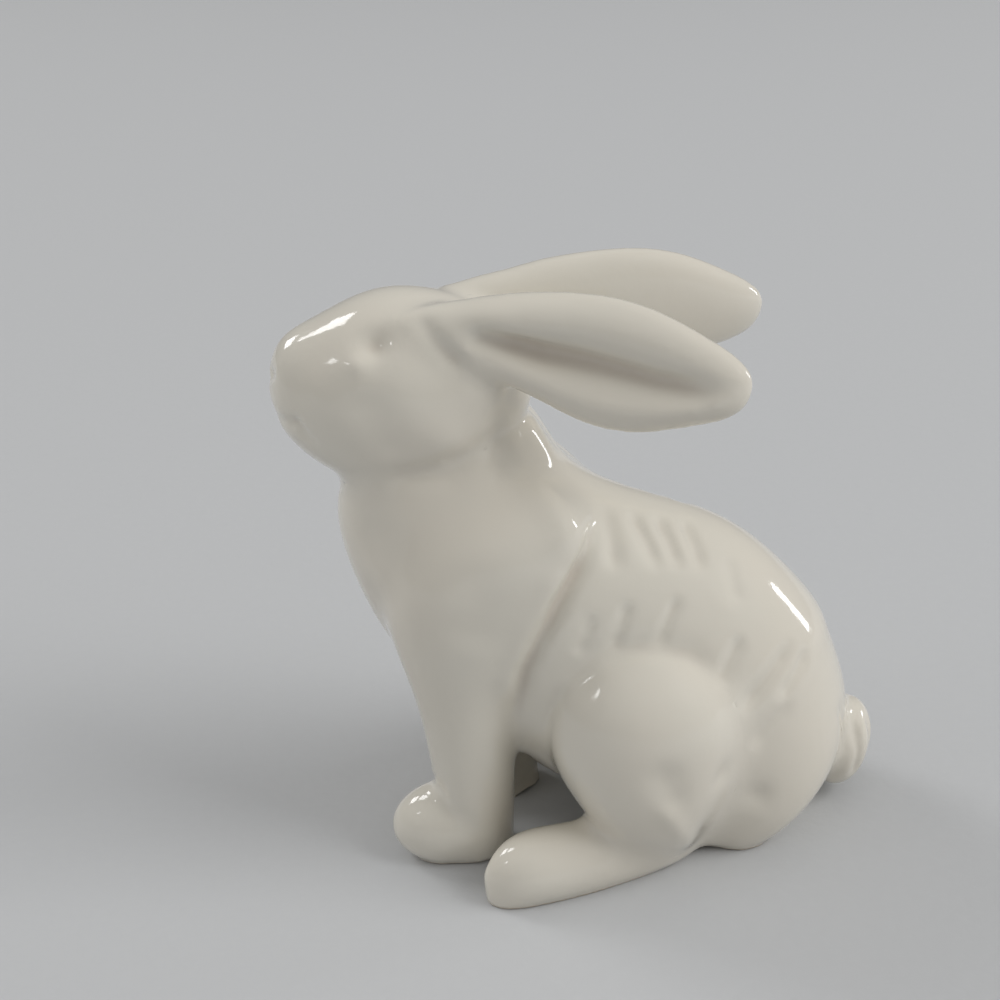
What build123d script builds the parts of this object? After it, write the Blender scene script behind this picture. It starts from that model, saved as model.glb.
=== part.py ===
"""A sitting rabbit figurine in glazed ceramic, stuck together from castings.

The torso and the head are hollow castings that meet at a flat neck seat. Ears, forelegs, haunches, hind feet and
tail are solid, their roots coped to the casting that carries them, and a thin layer of luting slip fills each joint.
The nose points to -X, the left side to -Y, and the feet and the rump are ground flat at z = 0.
"""

import os
from math import asin, cos, radians, sin

from build123d import *

# Sides of the body, as signs of y
SIDES = {"left": -1, "right": 1}

# Torso casting: length from chest to rump, height from ground to nape, rounding of the rump's end
TORSO_LENGTH = 42.0
TORSO_HEIGHT = 38.0
TORSO_WIDTH = 21.0
RUMP_REACH = 0.6
WALL = 2.4
VENT_DIAMETER = 3.2
VENT_PLACE_SHARE = 0.45

# Luting slip in every joint, and the overrun of all cuts
SLIP_THICKNESS = 0.3
OVERRUN = 4.0

# Head casting, measured from the middle of the neck seat, and the rounding of its two ends
HEAD_LENGTH_SHARE = 0.486
HEAD_LENGTH = HEAD_LENGTH_SHARE * TORSO_LENGTH
HEAD_DEPTH = 17.0
HEAD_WIDTH = 14.4
SKULL_REACH = 1.0
NOSE_REACH = 0.7

# Ears: angles from the rearward direction, and the roots on the head
EAR_LENGTH = 28.2
EAR_WIDTH = 9.0
EAR_THICKNESS = 4.4
SCOOP_DEPTH = 1.9
EAR_LEAN = 12.0
SCOOP_LEAN = 24.0
EAR_SPREADS = {"left": 15.0, "right": 14.0}
EAR_DROOPS = {"left": 7.0, "right": 6.5}
EAR_ROOT_SHARES = {"left": (-0.14, 0.42, 0.60), "right": (0.05, 0.36, 0.60)}

# Forelegs: shoulder, leg and paw, in proportion to the torso; the right one stands a step further back
FORELEG_SIZE_SHARES = (0.381, 0.905, 0.514)
SHOULDER_LENGTH = FORELEG_SIZE_SHARES[0] * TORSO_LENGTH
FORELEG_HEIGHT = FORELEG_SIZE_SHARES[1] * TORSO_HEIGHT
SHOULDER_WIDTH = FORELEG_SIZE_SHARES[2] * TORSO_WIDTH
FORELEG_TRACK_SHARE = 0.467
FORELEG_TRACK = FORELEG_TRACK_SHARE * TORSO_WIDTH
FORELEG_PLACE_SHARE = 0.226
FORELEG_STEP = 2.8
PAW_LENGTH = 10.4
PAW_WIDTH = 7.2
PAW_HEIGHT = 6.6

# Haunches, in proportion to the torso
HAUNCH_SIZE_SHARES = (0.381, 0.55, 0.64)
HAUNCH_LENGTH = HAUNCH_SIZE_SHARES[0] * TORSO_LENGTH
HAUNCH_HEIGHT = HAUNCH_SIZE_SHARES[1] * TORSO_HEIGHT
HAUNCH_WIDTH = HAUNCH_SIZE_SHARES[2] * TORSO_WIDTH
HAUNCH_TRACK_SHARE = 0.75
HAUNCH_TRACK = HAUNCH_TRACK_SHARE * TORSO_WIDTH
HAUNCH_PLACE_SHARE = 0.565
ANKLE_LEVEL_SHARE = 0.41

# Hind feet: heels in the torso's flanks, toes splayed out past the forepaws with room between them
FOOT_LENGTH = 18.8
FOOT_WIDTH = 6.2
FOOT_HEIGHT = 5.4
HEEL_PLACE_SHARE = 0.665
HEEL_TRACK_SHARE = 0.74
HEEL_TRACK = HEEL_TRACK_SHARE * TORSO_WIDTH
TOE_CLEARANCE = 1.1
TOE_TRACK = FORELEG_TRACK + PAW_WIDTH + FOOT_WIDTH + 2 * TOE_CLEARANCE

# How far paws, feet and rump were sunk before they were ground flat
GRIND = 0.9

# Tail
TAIL_LENGTH = 8.4
TAIL_WIDTH = 6.6
TAIL_THICKNESS = 5.0
TAIL_LEAN = 16.0
TAIL_PLACE_SHARES = (0.972, 0.135)

# Torso sections: chord from belly to back in shares of length and height, and share of half the width
TORSO_SECTION_SHARES = (
    ((0.02, 0.90), (0.40, 1.00), 0.59),
    ((0.00, 0.76), (0.467, 0.88), 0.72),
    ((0.04, 0.59), (0.58, 0.80), 0.84),
    ((0.13, 0.41), (0.727, 0.735), 0.91),
    ((0.27, 0.25), (0.856, 0.628), 0.98),
    ((0.43, 0.11), (0.953, 0.487), 1.00),
    ((0.57, -0.03), (0.997, 0.33), 0.94),
    ((0.69, -0.10), (0.993, 0.19), 0.78),
    ((0.80, -0.05), (0.955, 0.10), 0.45),
    ((0.852, -0.04), (0.938, 0.045), 0.25),
)

# Head sections from the back of the skull to the nose, from the neck seat's middle
HEAD_SECTION_SHARES = (
    ((0.324, 0.13), (0.284, 0.56), 0.61),
    ((0.176, -0.065), (0.108, 0.724), 0.90),
    ((-0.02, -0.18), (-0.098, 0.78), 1.00),
    ((-0.225, -0.18), (-0.304, 0.74), 0.96),
    ((-0.40, -0.09), (-0.461, 0.66), 0.79),
    ((-0.53, 0.03), (-0.559, 0.60), 0.64),
    ((-0.613, 0.16), (-0.623, 0.50), 0.43),
)

# Ear sections: share of length, lower and upper edge as shares of width, share of half the thickness
EAR_SECTION_SHARES = (
    (0.00, -0.15, 0.25, 0.80),
    (0.13, -0.17, 0.36, 0.95),
    (0.30, -0.24, 0.50, 1.00),
    (0.52, -0.48, 0.58, 1.00),
    (0.74, -0.52, 0.48, 0.92),
    (0.89, -0.39, 0.29, 0.76),
    (0.97, -0.24, 0.15, 0.46),
)
SCOOP_SECTION_SHARES = (
    (0.28, -0.12, 0.20, 0.45),
    (0.42, -0.32, 0.28, 0.85),
    (0.58, -0.46, 0.28, 1.00),
    (0.74, -0.47, 0.22, 1.00),
    (0.87, -0.36, 0.10, 0.75),
    (0.93, -0.26, 0.02, 0.40),
)
SCOOP_START_SHARE = 0.20
SCOOP_END_SHARE = 0.96

# Foreleg sections: share of height, front and rear edge as shares of length, share of half the width
FORELEG_SECTION_SHARES = (
    (-0.03, -0.21, 0.18, 0.61),
    (0.15, -0.21, 0.20, 0.63),
    (0.29, -0.23, 0.22, 0.66),
    (0.43, -0.27, 0.26, 0.72),
    (0.55, -0.33, 0.36, 0.84),
    (0.67, -0.38, 0.52, 0.96),
    (0.79, -0.34, 0.66, 1.00),
    (0.89, -0.20, 0.70, 0.84),
    (0.955, -0.02, 0.60, 0.56),
    (0.985, 0.14, 0.47, 0.32),
)
SHOULDER_TIP_SHARE = 0.30

# Haunch sections: share of height, front and rear edge as shares of length, share of half the width
HAUNCH_SECTION_SHARES = (
    (0.09, -0.15, 0.25, 0.52),
    (0.20, -0.28, 0.33, 0.75),
    (0.33, -0.38, 0.42, 0.92),
    (0.49, -0.47, 0.49, 1.00),
    (0.67, -0.49, 0.50, 0.99),
    (0.83, -0.44, 0.41, 0.82),
    (0.95, -0.30, 0.24, 0.50),
)
HAUNCH_TIP_SHARE = 0.03

# Foot sections from toe to heel: share of length, share of half the width, share of height
FOOT_SECTION_SHARES = (
    (0.04, 0.52, 0.70),
    (0.14, 0.88, 0.94),
    (0.30, 1.00, 1.00),
    (0.52, 0.95, 0.96),
    (0.76, 0.80, 0.84),
    (0.94, 0.48, 0.62),
)

# Sections of a plain egg: share of length, share of half the breadth
EGG_SECTION_SHARES = (
    (0.04, 0.40),
    (0.15, 0.73),
    (0.35, 0.96),
    (0.60, 0.98),
    (0.84, 0.73),
    (0.96, 0.40),
)


def oval(plane, half_length, half_width):
    """An oval on plane, drawn as four quarter arcs so that every outline starts at the same corner."""
    with BuildSketch(plane, mode=Mode.PRIVATE) as outline:
        with BuildLine():
            for quarter in range(4):
                EllipticalCenterArc((0, 0), half_length, half_width, 90 * quarter, arc_size=90)
        make_face()
    return outline.sketch


def chord_plane(low, high):
    """The plane across the body that holds the chord between two points of its side view."""
    chord = Vector(high[0] - low[0], 0, high[1] - low[1])
    middle = Vector((high[0] + low[0]) / 2, 0, (high[1] + low[1]) / 2)
    return Plane(origin=middle, x_dir=chord, z_dir=chord.cross(Vector(0, 1, 0)))


def body_chord(shares, origin, size):
    """The two ends of a chord, from shares of a body's length and height."""
    return [(origin[0] + x_share * size[0], origin[1] + z_share * size[1]) for x_share, z_share in shares[:2]]


def body_sections(section_shares, origin, size, grow):
    """Ovals across a body, each grown by one thickness, from shares of its length, height and width."""
    sections = []
    for shares in section_shares:
        low, high = body_chord(shares, origin, size)
        half_chord = Vector(high[0] - low[0], high[1] - low[1]).length / 2
        half_width = shares[2] * size[2] / 2
        sections.append(oval(chord_plane(low, high), half_chord + grow, half_width + grow))
    return sections


def end_tip(shares, origin, size, reach):
    """The rounded end of a body, square to its last section."""
    plane = chord_plane(*body_chord(shares, origin, size))
    return Vertex(*plane.offset(reach).origin)


def lofted(sections):
    """One smooth solid through sections and end points."""
    with BuildPart() as form:
        loft(sections)
    return form.part


def cut_level(form, height):
    """The part of a form above a level."""
    with BuildPart() as upper:
        add(form)
        split(bisect_by=Plane.XY.offset(height), keep=Keep.TOP)
    return upper.part


# Places that pieces share
TORSO_SIZE = (TORSO_LENGTH, TORSO_HEIGHT, TORSO_WIDTH)
HEAD_SIZE = (HEAD_LENGTH, HEAD_DEPTH, HEAD_WIDTH)
NECK_FRONT, NECK_BACK = body_chord(TORSO_SECTION_SHARES[0], (0, 0), TORSO_SIZE)
NECK_PLANE = chord_plane(NECK_FRONT, NECK_BACK)
NECK_MIDDLE = (NECK_PLANE.origin.X, NECK_PLANE.origin.Z)
NECK_HALF_LENGTH = Vector(NECK_BACK[0] - NECK_FRONT[0], NECK_BACK[1] - NECK_FRONT[1]).length / 2
NECK_HALF_WIDTH = TORSO_SECTION_SHARES[0][2] * TORSO_WIDTH / 2


def torso_form(grow):
    """The torso's outer form, or one grown or shrunk by a thickness."""
    sections = body_sections(TORSO_SECTION_SHARES, (0, 0), TORSO_SIZE, grow)
    rump = end_tip(TORSO_SECTION_SHARES[-1], (0, 0), TORSO_SIZE, -RUMP_REACH - grow)
    return lofted([*sections, rump])


def head_form(grow):
    """The head's outer form, or one grown or shrunk by a thickness."""
    sections = body_sections(HEAD_SECTION_SHARES, NECK_MIDDLE, HEAD_SIZE, grow)
    skull = end_tip(HEAD_SECTION_SHARES[0], NECK_MIDDLE, HEAD_SIZE, -SKULL_REACH - grow)
    nose = end_tip(HEAD_SECTION_SHARES[-1], NECK_MIDDLE, HEAD_SIZE, NOSE_REACH + grow)
    return lofted([skull, *sections, nose])


TORSO = torso_form(0)
TORSO_AND_SLIP = torso_form(SLIP_THICKNESS)
TORSO_HOLLOW = cut_level(torso_form(-WALL), WALL)
HEAD = head_form(0)
HEAD_AND_SLIP = head_form(SLIP_THICKNESS)


# Torso casting: hollow, open at the neck, vented below
with BuildPart() as torso_shell:
    add(TORSO)
    add(TORSO_HOLLOW, mode=Mode.SUBTRACT)
    with BuildSketch(NECK_PLANE):
        add(oval(Plane.XY, NECK_HALF_LENGTH - WALL, NECK_HALF_WIDTH - WALL))
    extrude(amount=OVERRUN, both=True, mode=Mode.SUBTRACT)
    with BuildSketch(Plane.XY):
        with Locations((VENT_PLACE_SHARE * TORSO_LENGTH, 0)):
            Circle(VENT_DIAMETER / 2)
    extrude(amount=TORSO_HEIGHT / 4, both=True, mode=Mode.SUBTRACT)
    split(bisect_by=Plane.XY, keep=Keep.TOP)

# Head casting: hollow, cut at the neck seat
with BuildPart() as head_shell:
    add(HEAD)
    add(head_form(-WALL), mode=Mode.SUBTRACT)
    split(bisect_by=NECK_PLANE.offset(SLIP_THICKNESS), keep=Keep.TOP)

# Slip ring on the neck seat
with BuildPart() as neck_slip:
    with BuildSketch(NECK_PLANE):
        add(oval(Plane.XY, NECK_HALF_LENGTH, NECK_HALF_WIDTH))
        add(oval(Plane.XY, NECK_HALF_LENGTH - WALL, NECK_HALF_WIDTH - WALL), mode=Mode.SUBTRACT)
    extrude(amount=SLIP_THICKNESS)


def ear_plane(name, length_share, lean_angle, outward):
    """The plane across an ear at a share of its length, its x axis up the ear and its origin moved outward."""
    side = SIDES[name]
    spread = radians(EAR_SPREADS[name])
    droop = radians(EAR_DROOPS[name])
    lean = radians(lean_angle)
    axis = Vector(cos(droop) * cos(spread), side * cos(droop) * sin(spread), -sin(droop))
    away = axis.cross(Vector(0, 0, 1)).normalized() * -side
    upright = axis.cross(away).normalized() * side
    width_way = upright * cos(lean) - away * sin(lean)
    open_way = away * cos(lean) + upright * sin(lean)
    root_shares = EAR_ROOT_SHARES[name]
    root = Vector(
        NECK_MIDDLE[0] + root_shares[0] * HEAD_LENGTH,
        side * root_shares[1] * HEAD_WIDTH / 2,
        NECK_MIDDLE[1] + root_shares[2] * HEAD_DEPTH,
    )
    place = root + axis * (length_share * EAR_LENGTH) + open_way * outward
    return Plane(origin=place, x_dir=width_way, z_dir=axis)


def ear_sections(name, section_shares, half_thickness, lean_angle, outward):
    """Ovals across an ear between its lower and upper edge."""
    sections = []
    for length_share, low_share, high_share, thickness_share in section_shares:
        plane = ear_plane(name, length_share, lean_angle, outward)
        middle = plane.origin + plane.x_dir * ((high_share + low_share) / 2 * EAR_WIDTH)
        across = Plane(origin=middle, x_dir=plane.x_dir, z_dir=plane.z_dir)
        half_width = (high_share - low_share) / 2 * EAR_WIDTH
        sections.append(oval(across, half_width, thickness_share * half_thickness))
    return sections


def ear_form(name):
    """An ear with its hollow, running on into the head."""
    end = ear_plane(name, 1, EAR_LEAN, 0).origin
    outer = lofted([*ear_sections(name, EAR_SECTION_SHARES, EAR_THICKNESS / 2, EAR_LEAN, 0), Vertex(*end)])
    face = EAR_THICKNESS / 2
    scoop_start = ear_plane(name, SCOOP_START_SHARE, SCOOP_LEAN, face).origin
    scoop_end = ear_plane(name, SCOOP_END_SHARE, SCOOP_LEAN, face).origin
    scoop_sections = ear_sections(name, SCOOP_SECTION_SHARES, SCOOP_DEPTH, SCOOP_LEAN, face)
    scoop = lofted([Vertex(*scoop_start), *scoop_sections, Vertex(*scoop_end)])
    with BuildPart() as form:
        add(outer)
        add(scoop, mode=Mode.SUBTRACT)
    return form.part


def upright_sections(section_shares, place, size, lean, grow):
    """Level ovals up a limb, from shares of its length, height and width; lean moves the foot end back."""
    sections = []
    for height_share, front_share, rear_share, width_share in section_shares:
        middle = place[0] + (front_share + rear_share) / 2 * size[0] + lean * (1 - height_share)
        level = Plane(origin=(middle, place[1], height_share * size[1]), x_dir=(1, 0, 0), z_dir=(0, 0, 1))
        half_length = (rear_share - front_share) / 2 * size[0]
        sections.append(oval(level, half_length + grow, width_share * size[2] / 2 + grow))
    return sections


def egg(plane, length, breadth, depth):
    """A plain egg along the plane's normal: breadth along the plane's x axis, depth along its y axis."""
    sections = [
        oval(plane.offset(length_share * length), girth_share * breadth / 2, girth_share * depth / 2)
        for length_share, girth_share in EGG_SECTION_SHARES
    ]
    return lofted([Vertex(*plane.origin), *sections, Vertex(*plane.offset(length).origin)])


def foreleg_form(name):
    """Shoulder, leg and paw, standing on the ground."""
    side = SIDES[name]
    step = FORELEG_STEP if name == "right" else 0
    place = (FORELEG_PLACE_SHARE * TORSO_LENGTH, side * FORELEG_TRACK / 2)
    size = (SHOULDER_LENGTH, FORELEG_HEIGHT, SHOULDER_WIDTH)
    sections = upright_sections(FORELEG_SECTION_SHARES, place, size, step, 0)
    top = Vertex(place[0] + SHOULDER_TIP_SHARE * SHOULDER_LENGTH, place[1], FORELEG_HEIGHT)
    leg_rear = place[0] + FORELEG_SECTION_SHARES[0][2] * SHOULDER_LENGTH + step
    paw_plane = Plane(
        origin=(leg_rear, place[1], PAW_HEIGHT / 2 - GRIND / 2),
        x_dir=(0, 1, 0),
        z_dir=(-1, 0, 0),
    )
    with BuildPart() as form:
        add(lofted([*sections, top]))
        add(egg(paw_plane, PAW_LENGTH, PAW_WIDTH, PAW_HEIGHT + GRIND))
    return cut_level(form.part, 0)


def haunch_form(name):
    """A thigh, egg shaped, narrow towards the heel and trimmed level at the ankle."""
    place = (HAUNCH_PLACE_SHARE * TORSO_LENGTH, SIDES[name] * HAUNCH_TRACK / 2)
    size = (HAUNCH_LENGTH, HAUNCH_HEIGHT, HAUNCH_WIDTH)
    sections = upright_sections(HAUNCH_SECTION_SHARES, place, size, 0, 0)
    low = Vertex(*place, HAUNCH_TIP_SHARE * HAUNCH_HEIGHT)
    thigh = lofted([low, *sections, Vertex(*place, HAUNCH_HEIGHT)])
    return cut_level(thigh, ANKLE_LEVEL_SHARE * FOOT_HEIGHT)


def foot_form(name, grow):
    """A long hind foot with a flat sole, or one grown by a thickness."""
    side = SIDES[name]
    splay = asin((TOE_TRACK - HEEL_TRACK) / 2 / FOOT_LENGTH)
    axis = Vector(cos(splay), -side * sin(splay), 0)
    heel = Vector(HEEL_PLACE_SHARE * TORSO_LENGTH, side * HEEL_TRACK / 2, FOOT_HEIGHT / 2)
    toe = heel - axis * FOOT_LENGTH
    sections = []
    for length_share, width_share, height_share in FOOT_SECTION_SHARES:
        height = height_share * FOOT_HEIGHT
        along = toe + axis * (length_share * FOOT_LENGTH)
        across = Plane(origin=(along.X, along.Y, (height - GRIND) / 2), x_dir=(0, 0, 1), z_dir=axis)
        sections.append(oval(across, (height + GRIND) / 2 + grow, width_share * FOOT_WIDTH / 2 + grow))
    front = toe - axis * grow
    back = heel + axis * grow
    return cut_level(lofted([Vertex(*front), *sections, Vertex(*back)]), 0)


def tail_form():
    """A short tail laid up against the rump."""
    lean = radians(TAIL_LEAN)
    root = (TAIL_PLACE_SHARES[0] * TORSO_LENGTH, 0, TAIL_PLACE_SHARES[1] * TORSO_HEIGHT - TAIL_LENGTH / 2)
    root_plane = Plane(origin=root, x_dir=(0, 1, 0), z_dir=(sin(lean), 0, cos(lean)))
    return egg(root_plane, TAIL_LENGTH, TAIL_WIDTH, TAIL_THICKNESS)


def coped(form, *carriers):
    """A form with its root cut to the carriers and the slip on them."""
    with BuildPart() as piece:
        add(form)
        for carrier in carriers:
            add(carrier, mode=Mode.SUBTRACT)
    return piece.part


def slip_layer(form, carrier_and_slip, *carriers):
    """The slip between a form's root and the carrier under it."""
    with BuildPart() as layer:
        add(form)
        add(carrier_and_slip, mode=Mode.INTERSECT)
        for carrier in carriers:
            add(carrier, mode=Mode.SUBTRACT)
    return layer.part


PIECES = {"torso_shell": torso_shell.part, "head_shell": head_shell.part, "neck_slip": neck_slip.part}

for side_name in SIDES:
    ear = ear_form(side_name)
    PIECES[f"{side_name}_ear"] = coped(ear, HEAD_AND_SLIP)
    PIECES[f"{side_name}_ear_slip"] = slip_layer(ear, HEAD_AND_SLIP, HEAD)

    foreleg = foreleg_form(side_name)
    PIECES[f"{side_name}_foreleg"] = coped(foreleg, TORSO_AND_SLIP)
    PIECES[f"{side_name}_shoulder_slip"] = slip_layer(foreleg, TORSO_AND_SLIP, TORSO)

    foot = foot_form(side_name, 0)
    foot_and_slip = foot_form(side_name, SLIP_THICKNESS)
    PIECES[f"{side_name}_hind_foot"] = coped(foot, TORSO_AND_SLIP)
    PIECES[f"{side_name}_heel_slip"] = slip_layer(foot, TORSO_AND_SLIP, TORSO)

    haunch = haunch_form(side_name)
    haunch_on_foot = coped(haunch, foot_and_slip)
    PIECES[f"{side_name}_haunch"] = coped(haunch_on_foot, TORSO_AND_SLIP)
    PIECES[f"{side_name}_hip_slip"] = slip_layer(haunch_on_foot, TORSO_AND_SLIP, TORSO)
    PIECES[f"{side_name}_ankle_slip"] = slip_layer(haunch, foot_and_slip, foot, TORSO_AND_SLIP)

tail = tail_form()
PIECES["tail"] = coped(tail, TORSO_AND_SLIP)
PIECES["tail_slip"] = slip_layer(tail, TORSO_AND_SLIP, TORSO)

# The origin is the middle of the whole figurine's footprint, on the ground
WHOLE_BOX = Compound(list(PIECES.values())).bounding_box()
TO_ORIGIN = Location((-WHOLE_BOX.center().X, -WHOLE_BOX.center().Y, 0))

os.makedirs("parts", exist_ok=True)
for piece_name, piece in PIECES.items():
    placed = piece.moved(TO_ORIGIN)
    placed.label = piece_name
    export_step(placed, f"parts/{piece_name}.step")
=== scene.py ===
"""Glazed dressing of a sitting ceramic rabbit figurine, laid out as an add-on and run as a script.

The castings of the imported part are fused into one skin, as slip and glaze join them in the kiln.
The skin gets its fillets and its modelled relief, and is then parted along the joints into one
piece for each casting.
"""

import math

import bmesh
import bpy
import numpy as np
from bpy.props import FloatProperty, FloatVectorProperty, IntProperty, PointerProperty
from mathutils import Matrix, Vector
from mathutils.bvhtree import BVHTree


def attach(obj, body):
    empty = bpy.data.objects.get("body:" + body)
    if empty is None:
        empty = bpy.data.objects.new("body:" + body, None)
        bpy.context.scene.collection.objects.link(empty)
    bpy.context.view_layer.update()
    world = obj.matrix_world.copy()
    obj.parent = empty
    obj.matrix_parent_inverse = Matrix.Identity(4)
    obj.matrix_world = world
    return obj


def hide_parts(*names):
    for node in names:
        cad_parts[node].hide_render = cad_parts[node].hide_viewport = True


bl_info = {
    "name": "Ceramic rabbit",
    "version": (1, 0, 0),
    "blender": (4, 5, 0),
    "location": "View3D > Sidebar > Rabbit",
    "description": "Fuses the castings of a ceramic rabbit, models its relief and glazes it",
    "category": "Object",
}

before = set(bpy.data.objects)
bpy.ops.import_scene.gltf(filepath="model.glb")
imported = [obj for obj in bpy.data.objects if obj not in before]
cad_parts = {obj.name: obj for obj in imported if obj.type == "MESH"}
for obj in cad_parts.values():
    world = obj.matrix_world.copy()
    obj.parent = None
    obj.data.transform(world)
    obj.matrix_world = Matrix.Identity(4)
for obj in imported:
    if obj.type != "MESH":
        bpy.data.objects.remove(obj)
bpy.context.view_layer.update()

MM = 0.001
SKIN_NAME = "fused_skin"
SIDE_NAMES = ("left", "right")

# Glazed pieces, the casting that each one stands for, and the slip that bonds it
CASTINGS = {
    "rabbit_torso": ("torso_shell",),
    "rabbit_head": ("head_shell", "neck_slip"),
    "rabbit_tail": ("tail", "tail_slip"),
}
for side in SIDE_NAMES:
    CASTINGS[f"rabbit_{side}_ear"] = (f"{side}_ear", f"{side}_ear_slip")
    CASTINGS[f"rabbit_{side}_foreleg"] = (f"{side}_foreleg", f"{side}_shoulder_slip")
    CASTINGS[f"rabbit_{side}_haunch"] = (f"{side}_haunch", f"{side}_hip_slip", f"{side}_ankle_slip")
    CASTINGS[f"rabbit_{side}_hind_foot"] = (f"{side}_hind_foot", f"{side}_heel_slip")
PIECE_NAMES = list(CASTINGS)

# Vent under the belly, in millimetres: place, radius, the height below which it is looked for,
# and the rings of its wall, each with its rise above the last one and its share of the radius
VENT_PLACE = (-1.2, 0.0)
VENT_RADIUS = 1.6
VENT_CEILING = 8.6
VENT_RINGS = ((0.18, 0.92), (1.02, 0.98), (2.04, 1.0))

# Plug that closes the vent while the skin is made, in millimetres
PLUG_RADIUS = 2.2
PLUG_LOW = 4.4
PLUG_HIGH = 6.6

# Upright part of a normal below which a face looks down: into the vent, and on the soles
VENT_FACING = -0.2
SOLE_FACING = -0.3

# Soles, in millimetres: what is ground off, and the height up to which the clay is drawn down
SOLE_CUT = 0.14
SOLE_EDGE = 0.45

# Rounds of smoothing: the raw skin, the joints that melt, the skin before and after its relief
RAW_ROUNDS = 8
MELT_ROUNDS = 90
FORMED_ROUNDS = 3
FINISHED_ROUNDS = 4
# Rounds of evening out what the skin carries
RELIEF_NORMAL_ROUNDS = 4
BARE_ROUNDS = 3
HOLLOW_ROUNDS = 10
LABEL_ROUNDS = 14
BORDER_ROUNDS = 6

# Steps of one round: one that evens out and one back that keeps the form, then melting, and the
# rise and slide of slip that fills a joint, with normals that last for some rounds
EVEN_STEPS = (0.5, -0.53)
MELT_STEP = 0.6
FILL_RISE = 0.8
FILL_SLIDE = 0.2
NORMALS_LAST = 4
HOLLOW_GAIN = 0.9

# The far foreleg stands a step further back than the near one, and the far ear is set further
# back and in; in millimetres
FAR_LEG_STEP = 2.8
FAR_LEG_HEIGHT = 34.4
FAR_EAR_SHIFT = (3.9, -0.4)

# Share of a stroke's length over which it fades out at each end
FADE_SHARE = 0.30

# Relief of the near side, in millimetres: radius, height (below zero is cut in) and the points of
# each stroke. A stroke of several points fades out towards both of its ends.
HEAD_RELIEF = (
    (4.2, -0.75, ((-23.6, -5.6, 42.6),)),
    (1.3, -0.74, ((-15.4, -5.3, 46.7),)),
    (0.85, 0.20, ((-16.5, -5.8, 45.3),)),
    (1.6, 0.14, ((-21.8, -4.4, 42.8), (-19.3, -5.2, 44.4), (-17.7, -5.7, 44.9), (-14.9, -6.2, 45.1))),
    (1.9, -0.30, ((-16.6, -6.6, 44.2), (-15.5, -7.1, 40.6), (-14.4, -6.4, 36.8))),
    (2.0, 0.45, ((-10.6, -6.6, 38.8),)),
    (2.4, 0.25, ((-19.8, -5.7, 41.5),)),
    (
        0.62,
        -0.50,
        (
            (-20.0, 5.2, 37.9),
            (-22.3, 4.3, 40.2),
            (-23.2, 2.4, 40.2),
            (-23.6, 0.0, 40.6),
            (-23.2, -2.4, 40.2),
            (-22.3, -4.3, 40.2),
            (-20.0, -5.2, 37.9),
        ),
    ),
    (0.50, -0.42, ((-24.5, 0.0, 43.6), (-23.5, 0.0, 40.0))),
    (0.55, -0.48, ((-24.4, -0.2, 43.1), (-23.2, -2.3, 44.0))),
    (1.1, -0.32, ((-16.0, -5.0, 35.2), (-14.3, -5.8, 36.0), (-10.8, -6.2, 36.0), (-8.4, -5.2, 38.0))),
    (0.8, -0.36, ((-12.4, -4.4, 48.6), (-11.2, -5.3, 47.6), (-9.9, -6.1, 46.0), (-8.2, -6.3, 44.2))),
    (1.4, -0.40, ((-6.3, -5.9, 42.4), (-6.4, -4.9, 38.8), (-6.6, -5.4, 36.3), (-6.6, -6.2, 33.6))),
    (1.6, 0.30, ((-4.8, -3.8, 42.0), (-3.8, -1.9, 38.2), (-2.6, -2.4, 35.4), (-1.6, -3.0, 33.4))),
)
EAR_FORM = (
    (
        1.3,
        0.85,
        (
            (-10.2, -5.3, 48.6),
            (-5.7, -6.3, 48.0),
            (-2.0, -6.8, 47.4),
            (1.5, -7.6, 46.5),
            (5.2, -8.6, 45.3),
            (8.4, -9.8, 44.2),
            (12.2, -11.4, 43.2),
        ),
    ),
    (
        0.9,
        -0.35,
        (
            (-7.0, -6.8, 44.8),
            (-3.1, -7.8, 42.4),
            (1.3, -9.3, 40.7),
            (5.6, -10.2, 40.1),
            (10.7, -11.1, 41.1),
        ),
    ),
)
EAR_RELIEF = (
    (
        0.95,
        -0.62,
        (
            (-11.2, -5.0, 48.3),
            (-8.6, -6.0, 47.5),
            (-5.8, -6.1, 46.5),
            (-2.6, -6.7, 45.3),
            (1.7, -7.6, 44.4),
            (5.5, -8.8, 43.4),
            (8.6, -10.1, 42.9),
            (11.0, -11.2, 42.7),
            (13.6, -11.6, 42.5),
        ),
    ),
)
SHOULDER_RELIEF = (
    (1.7, -0.20, ((-16.8, -5.5, 31.0),)),
    (1.7, 0.22, ((-16.7, -5.6, 27.3),)),
    (2.4, -0.22, ((-9.7, -9.6, 30.6), (-8.9, -10.3, 26.0), (-10.3, -9.8, 21.4))),
    (
        1.2,
        0.34,
        (
            (-1.2, -6.6, 31.2),
            (-3.1, -9.2, 27.4),
            (-5.0, -9.6, 24.2),
            (-7.4, -8.9, 19.0),
            (-8.0, -7.8, 14.0),
        ),
    ),
    (1.5, 0.42, ((-5.0, -4.6, 35.6), (-3.0, -6.6, 33.2), (-1.9, -7.8, 31.2), (-2.4, -8.8, 28.2))),
    (1.2, 0.15, ((-14.9, -8.1, 21.3), (-14.3, -7.3, 16.6), (-14.1, -6.3, 11.5), (-14.1, -4.7, 6.5))),
    (0.9, -0.20, ((-13.8, -6.2, 8.8), (-13.2, -7.1, 6.2), (-12.5, -8.2, 4.0))),
)
# Relief of the far foreleg alone
FAR_PAW_RELIEF = (
    (1.8, -0.9, ((-15.2, 4.2, 3.9),)),
    (1.9, -0.8, ((-6.4, 2.0, 8.0), (-6.2, 2.3, 3.0), (-5.4, 3.2, -1.5))),
)
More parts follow.
